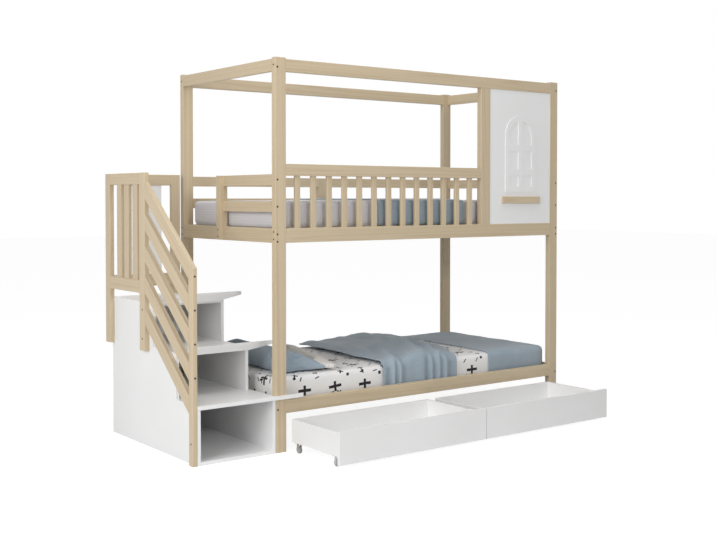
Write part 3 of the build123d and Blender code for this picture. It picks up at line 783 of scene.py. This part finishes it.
@dataclass
class Drawers:
    """The two rolling drawers."""

    sides: tuple[str, str] = ("left", "right")
    boards: tuple[str, ...] = ("drawer_front", "drawer_walls", "drawer_bottom")
    forks: str = "castor_forks"
    wheels: tuple[str, ...] = (
        "wheel_front_left", "wheel_front_right", "wheel_back_left", "wheel_back_right",
    )

    def dress(self, frame: dict, finishes: "Finishes") -> None:
        """Give every node of the drawers its finish."""
        for side in self.sides:
            dress(frame, [f"{side}_{name}" for name in self.boards], finishes.board)
            dress(frame, [f"{side}_{self.forks}"], finishes.fork)
            dress(frame, [f"{side}_{name}" for name in self.wheels], finishes.wheel)


class Finishes:
    """Every material of the bed, made once."""

    def __init__(self) -> None:
        """Make the materials."""
        self.pine = {
            grain: PineFinish(f"pine_{grain.name.lower()}", grain).build() for grain in Grain
        }
        self.slats = PineFinish("slat_wood", Grain.ALONG_Y, (0.70, 0.60, 0.45), (0.55, 0.42, 0.26)).build()
        self.board = BoardFinish().build()
        self.bolt = MetalFinish("bolt_steel", (0.035, 0.028, 0.022), (0.015, 0.012, 0.01), 0.45, 0.6).build()
        self.fork = MetalFinish("fork_steel", (0.55, 0.55, 0.56), (0.42, 0.42, 0.43), 0.35, 1.0).build()
        self.wheel = WheelFinish().build()
        self.blue = CottonFinish("blue_cotton", (0.365, 0.44, 0.505), (0.29, 0.36, 0.42)).build()
        self.knit = KnitFinish().build()
        self.crosses = CrossSheetFinish().build()
        self.lined = LinedCottonFinish().build()


@dataclass
class Blanket:
    """A thin blanket over a mattress, cut off at its ends and above the deck."""

    name: str
    stand_off: float
    cloth: float
    voxel: float
    ends: tuple[tuple[Vector, Vector], ...]
    fold_depth: float
    fold_pitch: float
    hem_rise: float = 0.004

    def lay(self, low: Vector, high: Vector, corner: float, edge: float) -> Piece:
        """Lay the blanket over a mattress.

        Args:
            low: lowest corner of the mattress.
            high: highest corner of the mattress.
            corner: radius of its upright corners.
            edge: radius of its level edges.

        Returns:
            The blanket.
        """
        away = Vector((self.stand_off, self.stand_off, self.stand_off))
        piece = Bench.slab(self.name, low - away, high + away, corner + away.x, edge + away.x, self.voxel)
        crown(piece, low - away, high + away, 0.005, 0.004)
        for point, normal in self.ends:
            Bench.cut(piece, point, normal)
        Bench.cut(piece, Vector((0.0, 0.0, low.z + self.hem_rise)), Vector((0.0, 0.0, 1.0)))
        self.fold(piece, low, high)
        return piece

    def fold(self, piece: Piece, low: Vector, high: Vector) -> None:
        """Let the front and back drops hang in soft upright folds."""
        for vertex in piece.data.vertices:
            place = vertex.co
            if low.y < place.y < high.y:
                continue
            side = -1.0 if place.y <= low.y else 1.0
            drop = min(1.0, max(0.0, (high.z - place.z) / (high.z - low.z)))
            phase = place.x / self.fold_pitch + 1.3 * noise.noise(Vector((place.x * 5, side, 0.0)))
            swell = 0.5 + 0.5 * math.sin(2 * math.pi * phase)
            vertex.co.y += side * self.fold_depth * drop * swell

    def hem(self, piece: Piece) -> None:
        Bench.modify(piece, "SOLIDIFY", thickness=self.cloth, offset=-1.0)


@dataclass
class Duvet:
    """A padded duvet that lies in soft swells and hangs in folds inside the front rail."""

    deck: float
    floor: float
    front: float
    back: float
    left: float
    heights: tuple[tuple[float, float], ...] = (
        (0.0, 0.034), (0.1, 0.052), (0.26, 0.050), (0.42, 0.062), (0.58, 0.082), (0.76, 0.066), (0.92, 0.044),
        (1.0, 0.024),
    )
    right_edge: tuple[tuple[float, float], ...] = (
        (0.0, 0.590), (0.15, 0.655), (0.25, 0.700), (0.5, 0.715), (0.86, 0.800), (1.0, 0.840),
    )
    loft: float = 0.024
    shoulder: float = 0.050
    hang: float = 0.20
    turned_share: float = 0.36
    crease_pitch: float = 0.155
    fold_pitch: float = 0.083
    squares: tuple[int, int] = (110, 130)
    hem_squares: int = 7
    drop_share: float = 0.19
    drop_padding: float = 0.38
    filling_rows: int = 12

    @staticmethod
    def between(points: Sequence[tuple[float, float]], at: float) -> float:
        """A smooth value between listed points."""
        for (start, low), (end, high) in zip(points, points[1:]):
            if at <= end:
                share = (at - start) / (end - start)
                share = share * share * (3 - 2 * share)
                return low + (high - low) * share
        return points[-1][1]

    def form(self, across: float, along: float) -> Vector:
        """Place of a point of the duvet.

        Args:
            across: share from its left to its right edge.
            along: share from its front hem to its back edge.

        Returns:
            The place of the point on the upper side.
        """
        depth = self.back - self.front
        over = max(0.0, (along - self.hang) / (1 - self.hang))
        left = self.left + 0.037 - 0.025 * math.sin(math.pi * min(1.0, over * 1.2)) + 0.03 * over
        right = self.left + self.between(self.right_edge, over)
        x = left + (right - left) * across
        lift = self.between(self.heights, across)
        rise = 0.62 + 0.38 * math.sin(math.pi * min(1.0, max(0.0, over - 0.05) * 1.05) ** 0.8)
        slope = x - over * 0.42
        wander = noise.noise(Vector((x * 5.0, over * 2.5, 0.0)))
        ridge = math.sin(2 * math.pi * slope / self.crease_pitch + 2.4 * wander)
        fine = noise.noise(Vector((x * 13 - over * 5, over * 5, 3.0)))
        crease = 0.011 * ridge * (1 - over) ** 0.6 + 0.010 * fine
        top = self.floor + lift * rise + crease * (0.35 + 0.65 * math.sin(math.pi * min(1.0, across * 1.02)))
        if along >= self.hang:
            return Vector((x, self.front + self.shoulder + over * (depth - self.shoulder), top))
        down = (self.hang - along) / self.hang
        phase = x / self.fold_pitch + 1.1 * noise.noise(Vector((x * 6.0, 1.0, 0.0)))
        fold = math.sin(2 * math.pi * phase)
        outer = self.front + 0.010 - 0.0095 * fold * min(1.0, down * 2)
        turn = min(1.0, down / self.turned_share) * math.pi / 2
        y = self.front + self.shoulder + (outer - self.front - self.shoulder) * math.sin(turn)
        bottom = self.deck + 0.012
        z = top - self.shoulder * (1 - math.cos(turn))
        if down > self.turned_share:
            share = (down - self.turned_share) / (1 - self.turned_share)
            z = z + (bottom - z) * share
        return Vector((x, y, z))

    def make(self) -> Piece:
        """Make the duvet with its padding, thin at the hems and on the drop.

        Returns:
            The duvet.
        """
        piece = Bench.sheet("duvet_cover", *self.squares, self.form)
        group = piece.vertex_groups.new(name="padding")
        columns, rows = (squares + 1 for squares in self.squares)
        for vertex in piece.data.vertices:
            column = vertex.index % columns
            row = vertex.index // columns
            rim = min(column, columns - 1 - column, row, rows - 1 - row) / self.hem_squares
            past_drop = max(0.0, row - rows * self.drop_share)
            drop = min(1.0, self.drop_padding + past_drop / self.filling_rows * (1 - self.drop_padding))
            group.add([vertex.index], min(1.0, 0.3 + 0.7 * rim) * drop, "REPLACE")
        Bench.modify(
            piece, "SOLIDIFY", thickness=self.loft, offset=-1.0,
            vertex_group="padding", thickness_vertex_group=0.0,
        )
        Bench.modify(piece, "SUBSURF", levels=1, render_levels=1)
        return piece


@dataclass
class Pillow:
    """A pillow made as two flat panels, blown up and laid on the mattress."""

    name: str
    middle: Vector
    width: float
    length: float
    thickness: float
    turn: float
    pressure: float
    voxel: float
    tilt: float

    def make(self) -> Piece:
        """Sew, fill and lay the pillow.

        Returns:
            The pillow.
        """
        half = Vector((self.width / 2, self.length / 2, 0.016))
        piece = Bench.slab(self.name, -half, half, 0.03, 0.012, self.voxel)
        Bench.inflate(piece, self.pressure, 20, self.thickness * 0.7)
        lowest = min(vertex.co.z for vertex in piece.data.vertices)
        highest = max(vertex.co.z for vertex in piece.data.vertices)
        scale = self.thickness / (highest - lowest)
        cosine, sine = math.cos(self.turn), math.sin(self.turn)
        for vertex in piece.data.vertices:
            place = vertex.co.copy()
            crease = noise.noise(Vector((place.x * 22, place.y * 3.5, 5.0))) * 0.0028
            height = (place.z - lowest) * scale * (1 - self.tilt * place.x / self.width)
            if place.z > 0:
                height += crease
            else:
                height *= 0.5
            vertex.co = self.middle + Vector(
                (place.x * cosine - place.y * sine, place.x * sine + place.y * cosine, max(0.0, height))
            )
        Bench.modify(piece, "SMOOTH", factor=0.5, iterations=2)
        Bench.modify(piece, "SUBSURF", levels=1, render_levels=1)
        return piece


@dataclass
class Bedding:
    """Mattresses, pillows, duvet and blankets."""

    corner: float = 0.045
    edge: float = 0.020
    voxel: float = 0.011
    cover_side: float = 0.03
    duvet_forward: float = 0.024
    blanket_across: float = 1.22
    foot_drop: float = 0.17
    throw_ease: float = 0.02

    def mattress(self, node: str, name: str) -> tuple[Piece, Vector, Vector]:
        """A covered mattress in the place of its CAD solid.

        Args:
            node: the CAD node it stands for.
            name: name of the piece.

        Returns:
            The piece and its lowest and highest corner.
        """
        low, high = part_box(node)
        piece = Bench.slab(name, low, high, self.corner, self.edge, self.voxel)
        crown(piece, low, high, 0.006, 0.003)
        return piece, low, high

    def lower(self, finishes: Finishes) -> None:
        """Make the bedding of the lower bed."""
        sheet, low, high = self.mattress("mattress_lower", "fitted_sheet")
        lay_flat(sheet, low, high, self.cover_side)
        ride_in_frame(sheet, finishes.crosses, ["mattress_lower"])

        blue = Pillow(
            "blue_pillow", Vector((low.x + 0.186, low.y + 0.345, high.z + 0.001)), 0.37, 0.70, 0.104,
            math.radians(-2), 4.0, 0.009, 1.2,
        ).make()
        ride_in_frame(blue, finishes.blue, ["pillows"])
        small = Pillow(
            "lined_pillow", Vector((low.x + 0.438, low.y + 0.384, high.z + 0.001)), 0.15, 0.76, 0.058,
            math.radians(-16), 4.0, 0.008, 0.5,
        ).make()
        ride_in_frame(small, finishes.lined, ["pillows"])

        box_low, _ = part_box("duvet")
        front, back = low.y - self.duvet_forward, high.y - self.duvet_forward
        duvet = Duvet(low.z, high.z, front, back, box_low.x).make()
        ride_in_frame(duvet, finishes.blue, ["duvet"])

        start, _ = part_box("foot_blanket")
        foot = Blanket(
            "foot_blanket_cover", 0.007, 0.004, 0.011,
            ((Vector((start.x + 0.006, low.y, 0.0)), Vector((1.0, -0.03, 0.0))),), 0.002, 0.21,
        )
        blanket = foot.lay(low, high, self.corner, self.edge)
        foot.hem(blanket)
        ride_in_frame(blanket, finishes.blue, ["foot_blanket"])

    def upper(self, finishes: Finishes) -> None:
        """Make the bedding of the upper bed."""
        mattress, low, high = self.mattress("mattress_upper", "knitted_mattress")
        ride_in_frame(mattress, finishes.knit, ["mattress_upper"])

        start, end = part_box("upper_blanket")
        throw = Blanket(
            "upper_blanket_cover", 0.006, 0.004, 0.011,
            (
                (Vector((start.x, 0.0, 0.0)), Vector((1.0, 0.0, 0.0))),
                (Vector((end.x, 0.0, 0.0)), Vector((-1.0, 0.0, 0.0))),
            ),
            0.009, 0.105,
        )
        blanket = throw.lay(low, high, self.corner, self.edge)
        throw.hem(blanket)
        ride_in_frame(blanket, finishes.blue, ["upper_blanket"])

    def make(self, finishes: Finishes) -> None:
        """Make all the bedding."""
        self.lower(finishes)
        self.upper(finishes)


@dataclass
class Lamp:
    """One soft lamp of the studio."""

    name: str
    place: Vector
    aim: Vector
    size: float
    power: float

    def hang(self) -> None:
        """Put the lamp up."""
        light = bpy.data.lights.new(self.name, "AREA")
        light.size = self.size
        light.energy = self.power
        lamp = bpy.data.objects.new(self.name, light)
        lamp.location = self.place
        lamp.rotation_euler = (self.aim - self.place).to_track_quat("-Z", "Y").to_euler()
        bpy.context.scene.collection.objects.link(lamp)


@dataclass
class Studio:
    """White floor and surround, soft lamps and the camera at the photograph's place."""

    lamps: tuple[Lamp, ...] = (
        Lamp("front_lamp", Vector((-1.4, -6.0, 2.7)), Vector((0.2, 0.0, 1.0)), 0.7, 66.0),
        Lamp("left_lamp", Vector((-5.3, -2.0, 2.4)), Vector((-0.4, 0.0, 0.9)), 2.8, 150.0),
        Lamp("top_lamp", Vector((-0.6, -1.2, 5.6)), Vector((0.0, 0.0, 1.0)), 2.4, 95.0),
    )
    surround: float = 0.32
    floor_size: float = 60.0
    floor_glow: float = 0.91
    camera_place: tuple[float, float, float] = (-3.7476, -4.9098, 1.3074)
    camera_turn: tuple[float, float, float] = (88.66, 0.0, -36.88)
    lens: float = 54.0
    sensor_width: float = 36.0
    lens_shift: float = -0.0656

    def seen(self, tree: bpy.types.NodeTree) -> Socket:
        """1 for rays of the camera and of what glass and metal mirror, and 0 for others."""
        path = tree.nodes.new("ShaderNodeLightPath")
        total = path.outputs["Is Camera Ray"]
        for name in ("Is Glossy Ray", "Is Transmission Ray"):
            step = tree.nodes.new("ShaderNodeMath")
            step.operation = "MAXIMUM"
            tree.links.new(total, step.inputs[0])
            tree.links.new(path.outputs[name], step.inputs[1])
            total = step.outputs[0]
        return total

    def floor(self) -> None:
        """Lay the white floor, which keeps a faint shadow."""
        bpy.ops.object.select_all(action="DESELECT")
        bpy.ops.mesh.primitive_plane_add(size=self.floor_size)
        floor = bpy.context.active_object
        floor.name = "studio_floor"
        material = bpy.data.materials.new("floor_white")
        material.use_nodes = True
        tree = material.node_tree
        tree.nodes.clear()
        seen = self.seen(tree)
        colour = tree.nodes.new("ShaderNodeMix")
        colour.data_type = "RGBA"
        tree.links.new(seen, colour.inputs[0])
        colour.inputs[6].default_value = (0.8, 0.8, 0.8, 1.0)
        colour.inputs[7].default_value = (0.22, 0.22, 0.22, 1.0)
        diffuse = tree.nodes.new("ShaderNodeBsdfDiffuse")
        tree.links.new(colour.outputs[2], diffuse.inputs["Color"])
        glow = tree.nodes.new("ShaderNodeEmission")
        level = tree.nodes.new("ShaderNodeMath")
        level.operation = "MULTIPLY"
        tree.links.new(seen, level.inputs[0])
        level.inputs[1].default_value = self.floor_glow
        tree.links.new(level.outputs[0], glow.inputs["Strength"])
        both = tree.nodes.new("ShaderNodeAddShader")
        tree.links.new(diffuse.outputs[0], both.inputs[0])
        tree.links.new(glow.outputs[0], both.inputs[1])
        out = tree.nodes.new("ShaderNodeOutputMaterial")
        tree.links.new(both.outputs[0], out.inputs["Surface"])
        floor.data.materials.append(material)

    def sky(self) -> None:
        """Surround the bed with plain soft light that the camera sees as white."""
        world = bpy.data.worlds.new("studio_surround")
        bpy.context.scene.world = world
        world.use_nodes = True
        tree = world.node_tree
        back = tree.nodes["Background"]
        back.inputs["Color"].default_value = (1.0, 1.0, 1.0, 1.0)
        level = tree.nodes.new("ShaderNodeMapRange")
        tree.links.new(self.seen(tree), level.inputs["Value"])
        level.inputs["To Min"].default_value = self.surround
        level.inputs["To Max"].default_value = 1.0
        tree.links.new(level.outputs["Result"], back.inputs["Strength"])

    def camera(self) -> None:
        """Set the camera up."""
        lens = bpy.data.cameras.new("camera")
        lens.lens = self.lens
        lens.sensor_width = self.sensor_width
        lens.shift_y = self.lens_shift
        camera = bpy.data.objects.new("camera", lens)
        camera.location = self.camera_place
        camera.rotation_euler = [math.radians(angle) for angle in self.camera_turn]
        bpy.context.scene.collection.objects.link(camera)
        bpy.context.scene.camera = camera

    def build(self) -> None:
        """Build the studio."""
        self.floor()
        self.sky()
        for lamp in self.lamps:
            lamp.hang()
        self.camera()
        bpy.context.scene.view_settings.view_transform = "Standard"


def main() -> None:
    """Load the frame, dress it, make the bedding and set up the studio."""
    logging.basicConfig(level=logging.INFO, format="%(name)s: %(message)s")
    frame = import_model()
    finishes = Finishes()
    BedFrame().dress(frame, finishes)
    Staircase().dress(frame, finishes)
    Drawers().dress(frame, finishes)
    Bedding().make(finishes)
    Studio().build()
    LOG.info("the bed is dressed")


if __name__ == "__main__":
    main()
